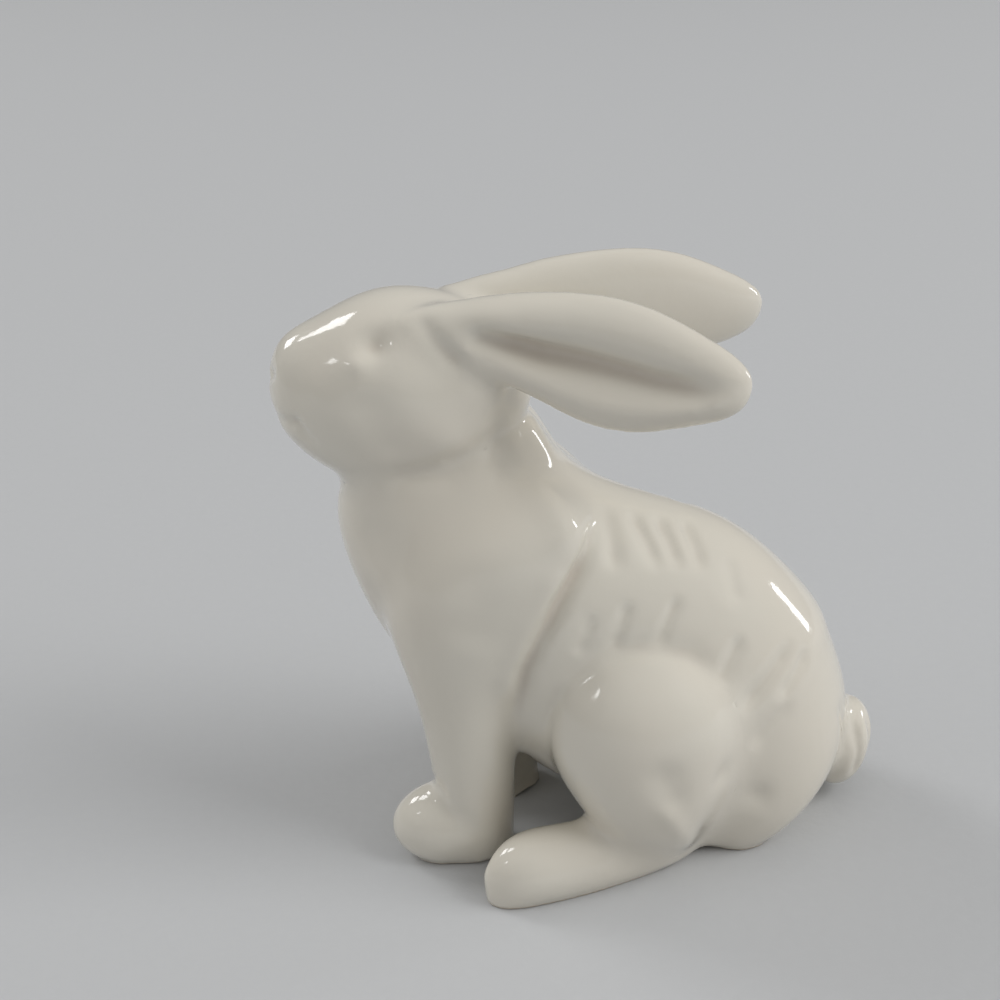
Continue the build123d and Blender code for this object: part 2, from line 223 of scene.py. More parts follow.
# Relief of flank, haunch and tail, on both sides
FLANK_RELIEF = (
    (
        0.75,
        -0.60,
        (
            (1.3, -2.6, 31.8),
            (0.4, -6.4, 29.9),
            (-1.1, -8.0, 27.6),
            (-2.8, -9.1, 25.1),
            (-4.6, -9.4, 22.0),
            (-5.7, -9.1, 19.5),
            (-6.4, -8.3, 16.0),
            (-6.8, -6.6, 12.4),
        ),
    ),
    (0.80, -0.30, ((1.7, -2.7, 31.2), (1.9, -5.3, 29.7), (2.1, -8.0, 26.7))),
    (0.72, -0.38, ((3.7, -2.1, 30.3), (4.4, -4.3, 29.3), (5.7, -7.1, 26.3))),
    (0.72, -0.40, ((6.1, -1.7, 29.6), (6.4, -3.9, 28.7), (7.3, -6.7, 26.0))),
    (0.72, -0.36, ((8.2, -1.4, 28.9), (8.5, -3.6, 27.9), (9.2, -6.3, 25.4))),
    (0.75, -0.20, ((11.4, -3.8, 26.4), (11.6, -5.4, 24.9), (11.9, -7.1, 22.6))),
    (0.58, -0.20, ((0.1, -9.0, 24.6), (-1.6, -9.7, 20.5))),
    (0.58, -0.26, ((3.1, -8.5, 25.2), (1.1, -9.7, 20.8))),
    (0.58, -0.28, ((7.2, -7.7, 24.9), (4.7, -9.5, 20.8))),
    (0.70, -0.30, ((12.2, -8.0, 21.1), (9.3, -10.0, 16.6))),
    (0.75, -0.40, ((16.8, -6.3, 19.3), (13.9, -8.8, 16.9), (11.0, -10.3, 14.6))),
    (0.75, -0.34, ((18.2, -5.8, 18.1), (14.4, -9.0, 14.7))),
    (0.85, -0.20, ((16.2, -8.0, 14.6), (13.8, -9.5, 12.6), (12.0, -10.0, 11.0))),
    (1.9, -0.26, ((-1.2, -10.8, 18.8),)),
    (1.5, -0.34, ((4.7, -14.6, 11.8),)),
    (1.1, -0.18, ((5.4, -14.3, 9.8),)),
    (0.9, 0.24, ((3.4, -14.7, 10.6), (5.3, -14.0, 7.3), (7.2, -9.9, 1.7))),
    (1.2, -0.22, ((9.6, -12.2, 10.4),)),
    (1.2, -0.28, ((12.9, -9.8, 6.4),)),
    (
        1.0,
        -0.20,
        (
            (-2.1, -9.6, 19.9),
            (0.3, -9.6, 21.1),
            (3.5, -9.5, 21.3),
            (7.5, -9.3, 20.3),
            (10.6, -9.9, 16.8),
        ),
    ),
    (0.8, -0.20, ((20.6, -4.8, 12.4), (21.2, -4.4, 9.0), (21.1, -3.1, 5.0))),
    (0.5, -0.24, ((22.5, -2.5, 9.2), (22.9, -3.1, 5.6), (22.5, -2.8, 1.6))),
    (0.5, -0.24, ((23.9, -1.3, 9.0), (24.4, -1.6, 5.4), (23.9, -1.6, 1.6))),
)

# Joints that stay crisp: radius, share of the fillet that is held back, and points
CRISP_JOINTS = (
    (2.2, 0.80, ((-2.1, -9.6, 19.9), (0.3, -9.6, 21.1), (3.5, -9.5, 21.3), (7.5, -9.3, 20.3))),
    (2.2, 0.92, ((-3.2, -9.4, 17.0), (-3.8, -9.3, 15.0), (-3.4, -10.2, 12.0), (-2.0, -9.6, 8.0))),
    (2.0, 0.45, ((-14.3, -5.8, 36.0), (-10.8, -6.2, 36.0), (-8.7, -5.7, 38.0))),
    (1.6, 0.85, ((-0.9, -8.2, 26.8), (-4.2, -9.4, 21.7), (-6.0, -8.2, 15.5))),
)
CRISP_EARS = (
    (
        1.5,
        0.95,
        (
            (-8.6, -6.0, 47.5),
            (-5.8, -6.1, 46.4),
            (1.7, -7.6, 44.2),
            (8.6, -10.1, 42.8),
            (11.3, -11.2, 42.6),
        ),
    ),
    (1.7, 0.85, ((-5.9, -6.3, 45.7), (-0.1, -8.0, 43.0), (5.7, -9.7, 41.8), (10.7, -11.3, 42.1))),
)

# Joints that are filled up more than the rest
DEEP_JOINTS = (
    (3.2, 1.0, ((22.0, 0.0, 3.4), (21.6, -3.0, 4.4))),
    (2.4, 1.0, ((-19.4, 0.0, 33.4), (-18.7, -3.1, 33.3), (-16.4, -4.8, 34.0))),
    (2.2, 1.0, ((8.0, -8.6, 1.2), (5.2, -10.8, 1.5), (2.6, -12.4, 3.4))),
    (2.2, 1.0, ((11.0, -10.6, 13.0), (9.6, -11.6, 9.6), (8.6, -10.6, 5.6), (8.4, -8.6, 1.6))),
)

# Joints that melt into the body: radius, share of smoothing, and points
MELTED_JOINTS = (
    (
        3.0,
        0.9,
        (
            (-15.5, -7.0, 24.5),
            (-14.6, -7.2, 27.0),
            (-12.0, -7.2, 30.5),
            (-8.5, -7.0, 33.2),
            (-5.0, -6.0, 34.0),
        ),
    ),
    (2.6, 0.9, ((11.2, -10.0, 15.4), (10.8, -11.0, 11.8), (8.8, -12.2, 8.6), (8.2, -10.8, 4.6))),
    (2.6, 0.9, ((-4.0, 0.0, 37.5), (-1.0, 0.0, 34.0), (4.0, 0.0, 31.2), (9.0, 0.0, 29.0))),
    (3.0, 1.0, ((-4.5, -5.2, 34.4), (-1.6, -4.4, 33.6), (0.4, -4.6, 31.8))),
    (2.0, 0.9, ((8.4, -8.0, 1.0), (6.8, -9.8, 1.4), (5.2, -10.8, 1.8), (2.6, -12.4, 3.4))),
)
MELTED_PAWS = ((1.5, 0.9, ((-12.4, -8.8, 0.5), (-10.4, -8.6, 0.5), (-8.4, -7.6, 0.5))),)
MELTED_EARS = (
    (
        1.7,
        0.9,
        (
            (-8.4, -5.4, 48.9),
            (-2.7, -7.2, 48.0),
            (3.1, -8.2, 46.4),
            (8.7, -10.2, 44.6),
            (12.4, -11.2, 43.2),
        ),
    ),
    (
        1.1,
        0.8,
        (
            (-7.0, -6.8, 44.8),
            (-3.1, -7.8, 42.4),
            (2.7, -9.6, 40.4),
            (8.5, -10.6, 40.1),
            (12.0, -11.0, 42.1),
        ),
    ),
)

# Patterns of the glaze, on each metre: slow drift of colour, mottle, specks, gloss, swell and pits
DRIFT_SCALE = 55.0
MOTTLE_SCALE = 420.0
SPECK_SCALE = 241.0
GLOSS_SCALE = 160.0
SWELL_SCALE = 210.0
PIT_SCALE = 1100.0
# Levels between which the drift, the painted shade in the creases, thin glaze, specks and bare clay
# come in
DRIFT_RANGE = (0.35, 0.65)
PAINTED_SHADE_RANGE = (0.52, 0.95)
THIN_RANGE = (0.44, 0.10)
SPECK_RANGE = (0.050, 0.028)
BARE_RANGE = (0.30, 0.62)
# Share of the cells without a speck
SPECKLESS = 0.962
GLAZE_COAT = 0.6
BARE_ROUGHNESS = 0.62


class ClaySettings(bpy.types.PropertyGroup):
    """How the skin is fused and modelled."""

    voxel: FloatProperty(
        name="Grain",
        description="Cell of the fused skin",
        default=0.26 * MM,
        unit="LENGTH",
        precision=5,
    )
    fillet_rounds: IntProperty(
        name="Fillet",
        description="Rounds of filling the joints with slip",
        default=70,
        subtype="UNSIGNED",
    )
    relief: FloatProperty(
        name="Relief",
        description="Depth of the modelled relief",
        default=1.0,
        subtype="FACTOR",
    )


class GlazeSettings(bpy.types.PropertyGroup):
    """Colours and gloss of the glaze."""

    ivory: FloatVectorProperty(
        name="Ivory",
        description="Glaze at its usual thickness",
        default=(0.735, 0.70, 0.615),
        size=3,
        subtype="COLOR",
    )
    cream: FloatVectorProperty(
        name="Cream",
        description="Slow drift of the glaze colour",
        default=(0.74, 0.695, 0.605),
        size=3,
        subtype="COLOR",
    )
    # Painted shade: a darker, browner colour laid into the creases, where shade falls
    painted_shade: FloatVectorProperty(
        name="Painted shade",
        description="Glaze lying thick in the creases",
        default=(0.63, 0.565, 0.48),
        size=3,
        subtype="COLOR",
    )
    thin: FloatVectorProperty(
        name="Thin",
        description="Glaze drawn thin over the ridges",
        default=(0.78, 0.74, 0.65),
        size=3,
        subtype="COLOR",
    )
    bisque: FloatVectorProperty(
        name="Bisque",
        description="Bare fired clay of the soles",
        default=(0.62, 0.55, 0.45),
        size=3,
        subtype="COLOR",
    )
    speck: FloatVectorProperty(
        name="Speck",
        description="Iron specks in the clay",
        default=(0.10, 0.08, 0.06),
        size=3,
        subtype="COLOR",
    )
    roughness: FloatProperty(
        name="Roughness",
        description="Of the fired glaze",
        default=0.10,
        subtype="FACTOR",
    )


class StageSettings(bpy.types.PropertyGroup):
    """Floor, lamps and camera."""

    floor: FloatVectorProperty(
        name="Floor",
        description="Colour of the floor",
        default=(0.56, 0.57, 0.58),
        size=3,
        subtype="COLOR",
    )
    key_power: FloatProperty(
        name="Key",
        description="Power of the lamp on the right",
        default=19.5,
        unit="POWER",
    )
    top_power: FloatProperty(
        name="Top",
        description="Power of the soft box overhead",
        default=12.0,
        unit="POWER",
    )
    pane_power: FloatProperty(
        name="Pane",
        description="Power of a whole pane of the windows",
        default=2.8,
        unit="POWER",
    )
    fill_power: FloatProperty(
        name="Fill",
        description="Power of the soft light on the left",
        default=14.0,
        unit="POWER",
    )
    sky: FloatProperty(
        name="Sky",
        description="Strength of the even light all round",
        default=0.26,
        subtype="UNSIGNED",
    )
    lens: FloatProperty(
        name="Lens",
        description="Focal length in millimetres",
        default=57.1,
        unit="CAMERA",
    )


class Skin:
    """Points and faces of the fused skin, in millimetres, with the sums that smooth and model it."""

    def __init__(self, mesh):
        points = np.empty(len(mesh.vertices) * 3)
        mesh.vertices.foreach_get("co", points)
        quads = np.empty(len(mesh.polygons) * 4, dtype=np.int64)
        mesh.polygons.foreach_get("vertices", quads)
        self.points = points.reshape(-1, 3) / MM
        self.quads = quads.reshape(-1, 4)
        self.find_edges()
        self.keep_outer_island()

    def find_edges(self):
        """Edges as vertex pairs, and the four neighbours of each face."""
        corners = np.stack([self.quads, np.roll(self.quads, -1, axis=1)], axis=2).reshape(-1, 2)
        corners.sort(axis=1)
        self.edges, inverse = np.unique(corners, axis=0, return_inverse=True)
        order = np.argsort(inverse.ravel(), kind="stable")
        self.face_pairs = (order // 4).reshape(-1, 2)
        self.degree = np.bincount(self.edges.ravel(), minlength=len(self.points))[:, None]

    def keep_outer_island(self):
        """Drops all but the piece that reaches furthest, so no hidden hollow is left inside."""
        label = np.arange(len(self.points))
        while True:
            low = np.minimum(label[self.edges[:, 0]], label[self.edges[:, 1]])
            fresh = label.copy()
            np.minimum.at(fresh, self.edges[:, 0], low)
            np.minimum.at(fresh, self.edges[:, 1], low)
            fresh = fresh[fresh]
            if np.array_equal(fresh, label):
                break
            label = fresh
        outer = label == label[self.points[:, 0].argmin()]
        if outer.all():
            return
        index = np.cumsum(outer) - 1
        self.quads = index[self.quads[outer[self.quads[:, 0]]]]
        self.points = self.points[outer]
        self.find_edges()

    def averages(self, values):
        """The mean of each vertex's neighbours."""
        first, second = self.edges.T
        count = len(self.points)
        total = [
            np.bincount(first, weights=column[second], minlength=count)
            + np.bincount(second, weights=column[first], minlength=count)
            for column in values.T
        ]
        return np.stack(total, axis=1) / self.degree

    def normals(self):
        """Unit normals of the vertices."""
        a, b, c, d = (self.points[self.quads[:, corner]] for corner in range(4))
        across = np.cross(c - a, d - b)
        total = np.zeros_like(self.points)
        for corner in range(4):
            for axis in range(3):
                total[:, axis] += np.bincount(
                    self.quads[:, corner], weights=across[:, axis], minlength=len(self.points)
                )
        return total / (np.linalg.norm(total, axis=1, keepdims=True) + 1e-12)

    def smooth(self, rounds):
        """Evens out the grain without shrinking the form."""
        for _ in range(rounds):
            for step in EVEN_STEPS:
                self.points += step * (self.averages(self.points) - self.points)

    def melt(self, share, rounds):
        """Plain smoothing where share says so."""
        for _ in range(rounds):
            pull = self.averages(self.points) - self.points
            self.points += MELT_STEP * share[:, None] * pull

    def fill_joints(self, share, rounds):
        """Builds the skin up in hollows only, as slip and glaze settle in a joint."""
        for turn in range(rounds):
            if turn % NORMALS_LAST == 0:
                normals = self.normals()
            pull = self.averages(self.points) - self.points
            rise = (pull * normals).sum(axis=1, keepdims=True)
            slide = pull - rise * normals
            lift = np.maximum(rise, 0) * normals
            self.points += share[:, None] * (FILL_RISE * lift + FILL_SLIDE * slide)

    def nearness(self, radius, stroke, fades=False):
        """How near each vertex is to a stroke: one on its line, falling to nothing around it.

        A stroke that fades has nothing at its two ends and rises to one inwards.
        """
        path = np.array(stroke, dtype=float)
        reach = 3 * radius
        above = self.points > path.min(axis=0) - reach
        below = self.points < path.max(axis=0) + reach
        near = np.flatnonzero((above & below).all(axis=1))
        share = np.zeros(len(self.points))
        if not len(near):
            return share
        spots = self.points[near]
        gap = np.full(len(near), np.inf)
        way = np.zeros(len(near))
        gone = 0.0
        for start, end in zip(path, path[1:] if len(path) > 1 else path):
            along = end - start
            length = max(np.linalg.norm(along), 1e-6)
            place = np.clip((spots - start) @ along / length**2, 0, 1)
            fresh = np.linalg.norm(spots - start - place[:, None] * along, axis=1)
            way = np.where(fresh < gap, gone + place * length, way)
            gap = np.minimum(gap, fresh)
            gone += length
        share[near] = np.exp(-((gap / radius) ** 2))
        if fades and len(path) > 1:
            inner = np.clip(np.minimum(way, gone - way) / (FADE_SHARE * gone), 0, 1)
            share[near] *= inner * inner * (3 - 2 * inner)
        return share

    def flatten_soles(self):
        """Grinds the soles level, and says how bare of glaze each vertex is."""
        height = self.points[:, 2]
        low = np.clip((height - SOLE_CUT) / (SOLE_EDGE - SOLE_CUT), 0, 1) * SOLE_EDGE
        self.points[:, 2] = np.where(height < SOLE_EDGE, low, height)
        looks_down = self.normals()[:, 2] < SOLE_FACING
        bare = np.where(looks_down, 1 - self.points[:, 2] / SOLE_EDGE, 0)
        bare = np.clip(bare, 0, 1)[:, None]
        for _ in range(BARE_ROUNDS):
            bare = 0.5 * bare + 0.5 * self.averages(bare)
        return bare[:, 0]

    def hollowness(self):
        """How deep in a hollow each vertex lies.

        It is a half on plain ground, one in a crease and nothing on a ridge.
        """
        pull = self.averages(self.points) - self.points
        normals = self.normals()
        spans = self.points[self.edges[:, 0]] - self.points[self.edges[:, 1]]
        edge = np.linalg.norm(spans, axis=1).mean()
        bend = ((pull * normals).sum(axis=1, keepdims=True)) / edge**2
        for _ in range(HOLLOW_ROUNDS):
            bend = 0.3 * bend + 0.7 * self.averages(bend)
        return np.clip(0.5 + HOLLOW_GAIN * bend[:, 0], 0, 1)


def mirrored(stroke):
    """The same stroke on the far side."""
    return [(x, -y, z) for x, y, z in stroke]


def far_leg(stroke):
    """A foreleg stroke on the far side, moved back with the leg."""
    return [
        (x + FAR_LEG_STEP * (1 - min(z / FAR_LEG_HEIGHT, 1)), -y, z) for x, y, z in stroke
    ]


def far_ear(stroke):
    """An ear stroke on the far side, moved with the ear's root."""
    return [(x + FAR_EAR_SHIFT[0], -y + FAR_EAR_SHIFT[1], z) for x, y, z in stroke]


def fused_mesh(voxel):
    """The castings, their slip and a plug for the vent, remeshed as one skin."""
    shape = bmesh.new()
    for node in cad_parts.values():
        shape.from_mesh(node.data)
    bmesh.ops.remove_doubles(shape, verts=shape.verts, dist=0.001 * MM)
    plug_middle = (VENT_PLACE[0] * MM, VENT_PLACE[1] * MM, (PLUG_HIGH + PLUG_LOW) / 2 * MM)
    bmesh.ops.create_cone(
        shape,
        cap_ends=True,
        segments=32,
        radius1=PLUG_RADIUS * MM,
        radius2=PLUG_RADIUS * MM,
        depth=(PLUG_HIGH - PLUG_LOW) * MM,
        matrix=Matrix.Translation(plug_middle),
    )
    mesh = bpy.data.meshes.new("joined_castings")
    shape.to_mesh(mesh)
    shape.free()
    joined = bpy.data.objects.new("joined_castings", mesh)
    bpy.context.scene.collection.objects.link(joined)
    remesh = joined.modifiers.new("fuse", "REMESH")
    remesh.mode = "VOXEL"
    remesh.voxel_size = voxel
    remesh.adaptivity = 0
    dressed = joined.evaluated_get(bpy.context.evaluated_depsgraph_get())
    skin = bpy.data.meshes.new_from_object(dressed)
    bpy.data.objects.remove(joined)
    bpy.data.meshes.remove(mesh)
    return skin


def model_relief(skin, reliefs, depth):
    """Cuts and raises the modelled strokes, each with its twin on the far side."""
    height = np.zeros(len(skin.points))
    for relief, far_side in reliefs:
        for radius, rise, stroke in relief:
            near = skin.nearness(radius, stroke, fades=True)
            far = skin.nearness(radius, far_side(stroke), fades=True)
            height += rise * np.maximum(near, far)
    normals = skin.normals()
    for _ in range(RELIEF_NORMAL_ROUNDS):
        normals = skin.averages(normals)
    normals /= np.linalg.norm(normals, axis=1, keepdims=True)
    skin.points += depth * height[:, None] * normals


def joint_shares(skin, *groups):
    """The strongest pull of some sets of joints at each vertex, on both sides."""
    share = np.zeros(len(skin.points))
    for joints, far_side in groups:
        for radius, strength, stroke in joints:
            for path in (stroke, far_side(stroke)):
                share = np.maximum(share, strength * skin.nearness(radius, path))
    return share


def casting_labels(skin):
    """For each face, which casting's surface is nearest, with the borders smoothed."""
    corners, triangles, owners = [], [], []
    count = 0
    for label, name in enumerate(PIECE_NAMES):
        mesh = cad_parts[CASTINGS[name][0]].data
        spots = np.empty(len(mesh.vertices) * 3)
        mesh.vertices.foreach_get("co", spots)
        mesh.calc_loop_triangles()
        faces = np.empty(len(mesh.loop_triangles) * 3, dtype=np.int64)
        mesh.loop_triangles.foreach_get("vertices", faces)
        corners.append(spots.reshape(-1, 3) / MM)
        triangles.append(faces.reshape(-1, 3) + count)
        owners.append(np.full(len(faces) // 3, label))
        count += len(mesh.vertices)
    owners = np.concatenate(owners)
    corners = np.concatenate(corners).tolist()
    triangles = np.concatenate(triangles).tolist()
    tree = BVHTree.FromPolygons(corners, triangles)
    nearest = np.array([owners[tree.find_nearest(spot)[2]] for spot in skin.points.tolist()])
    shares = (nearest[:, None] == np.arange(len(PIECE_NAMES))).astype(float)
    for _ in range(LABEL_ROUNDS):
        shares = 0.4 * shares + 0.6 * skin.averages(shares)
    labels = shares[skin.quads].sum(axis=1).argmax(axis=1)
    return drop_crumbs(skin, labels)


def drop_crumbs(skin, labels):
    """Gives stray patches of a label to what surrounds them."""
    same = skin.face_pairs[labels[skin.face_pairs[:, 0]] == labels[skin.face_pairs[:, 1]]]
    patch = np.arange(len(labels))
    while True:
        low = np.minimum(patch[same[:, 0]], patch[same[:, 1]])
        fresh = patch.copy()
        np.minimum.at(fresh, same[:, 0], low)
        np.minimum.at(fresh, same[:, 1], low)
        fresh = fresh[fresh]
        if np.array_equal(fresh, patch):
            break
        patch = fresh
    sizes = np.bincount(patch, minlength=len(labels))
    largest = np.zeros(len(PIECE_NAMES), dtype=np.int64)
    np.maximum.at(largest, labels, sizes[patch])
    loose = sizes[patch] < largest[labels]
    labels = np.where(loose, -1, labels)
    while (labels < 0).any():
        before = labels.copy()
        for first, second in (skin.face_pairs.T, skin.face_pairs.T[::-1]):
            taken = (before[first] < 0) & (before[second] >= 0)
            labels[first[taken]] = before[second[taken]]
        if np.array_equal(before, labels):
            raise RuntimeError("a patch of the skin belongs to no casting")
    return labels


def straighten_borders(skin, labels):
    """Draws the lines between castings smooth."""
    cut = labels[skin.face_pairs[:, 0]] != labels[skin.face_pairs[:, 1]]
    first, second = skin.edges[cut].T
    count = len(skin.points)
    degree = np.bincount(first, minlength=count) + np.bincount(second, minlength=count)
    plain = np.flatnonzero(degree == 2)
    for _ in range(BORDER_ROUNDS):
        total = np.zeros_like(skin.points)
        for axis in range(3):
            column = skin.points[:, axis]
            total[:, axis] += np.bincount(first, weights=column[second], minlength=count)
            total[:, axis] += np.bincount(second, weights=column[first], minlength=count)
        skin.points[plain] = 0.5 * skin.points[plain] + 0.25 * total[plain]


def open_vent(shape, bare):
    """Cuts the vent into the belly of the skin."""
    middle = Vector((VENT_PLACE[0] * MM, VENT_PLACE[1] * MM, 0))
    inside = []
    for face in shape.faces:
        spot = face.calc_center_median()
        if spot.z < VENT_CEILING * MM and face.normal.z < VENT_FACING:
            if (spot.xy - middle.xy).length < VENT_RADIUS * MM:
                inside.append(face)
    if not inside:
        raise RuntimeError("the vent misses the belly")
    bmesh.ops.delete(shape, geom=inside, context="FACES")
    rim = [edge for edge in shape.edges if edge.is_boundary]
    for vert in {vert for edge in rim for vert in edge.verts}:
        vert.co.xy = middle.xy + (vert.co - middle).xy.normalized() * VENT_RADIUS * MM
    for rise, share in VENT_RINGS:
        ring = bmesh.ops.extrude_edge_only(shape, edges=rim)["geom"]
        verts = [part for part in ring if isinstance(part, bmesh.types.BMVert)]
        edges = [part for part in ring if isinstance(part, bmesh.types.BMEdge)]
        rim = [edge for edge in edges if edge.is_boundary]
        level = sum(vert.co.z for vert in verts) / len(verts)
        for vert in verts:
            arm = (vert.co - middle).xy.normalized()
            vert.co.z = level + rise * MM
            vert.co.xy = middle.xy + arm * VENT_RADIUS * share * MM
            vert[bare] = 1.0
    end = bmesh.ops.holes_fill(shape, edges=rim, sides=0)["faces"]
    bmesh.ops.poke(shape, faces=end)


def part_skin(name):
    """The faces of one casting, with its roots closed, as a mesh."""
    label = PIECE_NAMES.index(name)
    shape = bmesh.new()
    shape.from_mesh(bpy.data.meshes[SKIN_NAME])
    owner = shape.faces.layers.int["casting"]
    cap = shape.faces.layers.int.new("root_cap")
    others = [face for face in shape.faces if face[owner] != label]
    bmesh.ops.delete(shape, geom=others, context="FACES")
    roots = [edge for edge in shape.edges if edge.is_boundary]
    if roots:
        closed = bmesh.ops.holes_fill(shape, edges=roots, sides=0)["faces"]
        for face in bmesh.ops.poke(shape, faces=closed)["faces"]:
            face[cap] = 1
    mesh = bpy.data.meshes.new(name)
    shape.to_mesh(mesh)
    shape.free()
    return mesh


def carry_normals(mesh):
    """Shades a piece with the fused skin's normals, so that no joint shows through the glaze."""
    mesh.shade_smooth()
    count = len(mesh.loops)
    corner_vertex = np.empty(count, dtype=np.int64)
    mesh.loops.foreach_get("vertex_index", corner_vertex)
    normals = np.empty(len(mesh.vertices) * 3)
    mesh.attributes["skin_normal"].data.foreach_get("vector", normals)
    corner_normals = normals.reshape(-1, 3)[corner_vertex]
    totals = np.empty(len(mesh.polygons), dtype=np.int64)
    mesh.polygons.foreach_get("loop_total", totals)
    caps = np.empty(len(mesh.polygons), dtype=np.int64)
    mesh.attributes["root_cap"].data.foreach_get("value", caps)
    corner_normals[np.repeat(caps, totals) == 1] = 0
    mesh.normals_split_custom_set(corner_normals.tolist())


def glazed_piece(name):
    """One casting's share of the skin, glazed and riding on the figurine."""
    if SKIN_NAME not in bpy.data.meshes:
        raise RuntimeError("fuse the skin first")
    mesh = part_skin(name)
    carry_normals(mesh)
    mesh.materials.clear()
    mesh.materials.append(glaze_material())
    piece = bpy.data.objects.new(name, mesh)
    bpy.context.scene.collection.objects.link(piece)
    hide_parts(*CASTINGS[name])
    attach(piece, "root")
    return piece


class Wire:
    """A node's output that takes part in sums; each sum adds a Math node."""

    def __init__(self, tree, socket):
        self.tree = tree
        self.socket = socket

    def sum(self, operation, first, second):
        node = self.tree.nodes.new("ShaderNodeMath")
        node.operation = operation
        for slot, value in zip(node.inputs, (first, second)):
            if isinstance(value, Wire):
                self.tree.links.new(value.socket, slot)
            else:
                slot.default_value = value
        return Wire(self.tree, node.outputs[0])

    def __add__(self, other):
        return self.sum("ADD", self, other)

    __radd__ = __add__

    def __sub__(self, other):
        return self.sum("SUBTRACT", self, other)

    def __rsub__(self, other):
        return self.sum("SUBTRACT", other, self)

    def __mul__(self, other):
        return self.sum("MULTIPLY", self, other)

    __rmul__ = __mul__

    def __gt__(self, other):
        return self.sum("GREATER_THAN", self, other)


class Finish:
    """A material under construction."""

    def __init__(self, name):
        self.material = bpy.data.materials.new(name)
        self.material.use_nodes = True
        self.tree = self.material.node_tree
        self.tree.nodes.clear()

    def node(self, kind, output, settings=None, values=None):
        """Adds a node, sets it up, fills its sockets and gives back one of its outputs."""
        node = self.tree.nodes.new(kind)
        for key, setting in (settings or {}).items():
            setattr(node, key, setting)
        for key, value in (values or {}).items():
            if isinstance(value, Wire):
                self.tree.links.new(value.socket, node.inputs[key])
            else:
                node.inputs[key].default_value = value
        return Wire(self.tree, node.outputs[output])

    def blend(self, share, first, second):
        """A colour between two others."""
        first, second = (
            colour if isinstance(colour, Wire) else (*colour, 1) for colour in (first, second)
        )
        return self.node(
            "ShaderNodeMix", 2, {"data_type": "RGBA"}, {0: share, 6: first, 7: second}
        )

    def ramp(self, value, low, high):
        """A smooth step from zero to one between two levels of a value."""
        return self.node(
            "ShaderNodeMapRange",
            0,
            {"interpolation_type": "SMOOTHSTEP"},
            {"Value": value, "From Min": low, "From Max": high},
        )

    def noise(self, place, scale, detail):
        """Even noise over the piece, a half on average."""
        values = {"Vector": place, "Scale": scale, "Detail": detail}
        return self.node("ShaderNodeTexNoise", 0, None, values)

    def shade(self, shader):
        """Puts the finished shader on the surface."""
        out = self.tree.nodes.new("ShaderNodeOutputMaterial")
        self.tree.links.new(shader.socket, out.inputs["Surface"])
        return self.material


def glaze_material():
    """Ivory glaze over white clay, bare on the soles."""
    if "ivory_glaze" in bpy.data.materials:
        return bpy.data.materials["ivory_glaze"]
    glaze = bpy.context.scene.rabbit_glaze
    finish = Finish("ivory_glaze")
    place = finish.node("ShaderNodeTexCoord", "Object")
    hollow = finish.node("ShaderNodeAttribute", "Fac", {"attribute_name": "hollow"})
    bare = finish.node("ShaderNodeAttribute", "Fac", {"attribute_name": "bare"})
    drift = finish.ramp(finish.noise(place, DRIFT_SCALE, 2.0), *DRIFT_RANGE)
    mottle = finish.noise(place, MOTTLE_SCALE, 3.0)
    colour = finish.blend(drift, glaze.ivory, glaze.cream)
    # Painted shade: the colour turns darker and browner deep in the creases, where shade falls
    painted_shade = finish.ramp(hollow + 0.10 * (mottle - 0.5), *PAINTED_SHADE_RANGE)
    colour = finish.blend(painted_shade, colour, glaze.painted_shade)
    colour = finish.blend(0.7 * finish.ramp(hollow, *THIN_RANGE), colour, glaze.thin)
    cell = {"Vector": place, "Scale": SPECK_SCALE}
    distance = finish.node("ShaderNodeTexVoronoi", "Distance", None, cell)
    chance = finish.node("ShaderNodeTexVoronoi", "Color", None, cell)
    lucky = finish.node("ShaderNodeSeparateColor", 0, None, {0: chance})
    speck = finish.ramp(distance, *SPECK_RANGE) * (lucky > SPECKLESS)
    colour = finish.blend(0.75 * speck, colour, glaze.speck)
    ground = finish.ramp(bare + 0.35 * (mottle - 0.5), *BARE_RANGE)
    colour = finish.blend(ground, colour, glaze.bisque)
    gloss = finish.noise(place, GLOSS_SCALE, 2.0)
    rough = glaze.roughness + 0.05 * (gloss - 0.5) + BARE_ROUGHNESS * ground
    swell = finish.noise(place, SWELL_SCALE, 2.0) + 0.16 * finish.noise(place, PIT_SCALE, 2.0)
    swell = swell + 0.3 * (ground * mottle)
    normal = finish.node(
        "ShaderNodeBump", "Normal", None, {"Strength": 0.30, "Distance": 0.00022, "Height": swell}
    )
    shader = finish.node(
        "ShaderNodeBsdfPrincipled",
        0,
        None,
        {
            "Base Color": colour,
            "Roughness": rough,
            "Coat Weight": GLAZE_COAT - GLAZE_COAT * ground,
            "Coat Roughness": 0.03,
            "IOR": 1.5,
            "Normal": normal,
        },
    )
    return finish.shade(shader)


def floor_material(colour):
    """Plain pale floor with a faint tooth."""
    finish = Finish("pale_floor")
    place = finish.node("ShaderNodeTexCoord", "Object")
    tooth = finish.noise(place, 900.0, 2.0)
    shade = finish.blend(0.12 * tooth, colour, [0.8 * part for part in colour])
    normal = finish.node(
        "ShaderNodeBump", "Normal", None, {"Strength": 0.2, "Distance": 0.0002, "Height": tooth}
    )
    shader = finish.node(
        "ShaderNodeBsdfPrincipled", 0, None, {"Base Color": shade, "Roughness": 0.9, "Normal": normal}
    )
    return finish.shade(shader)


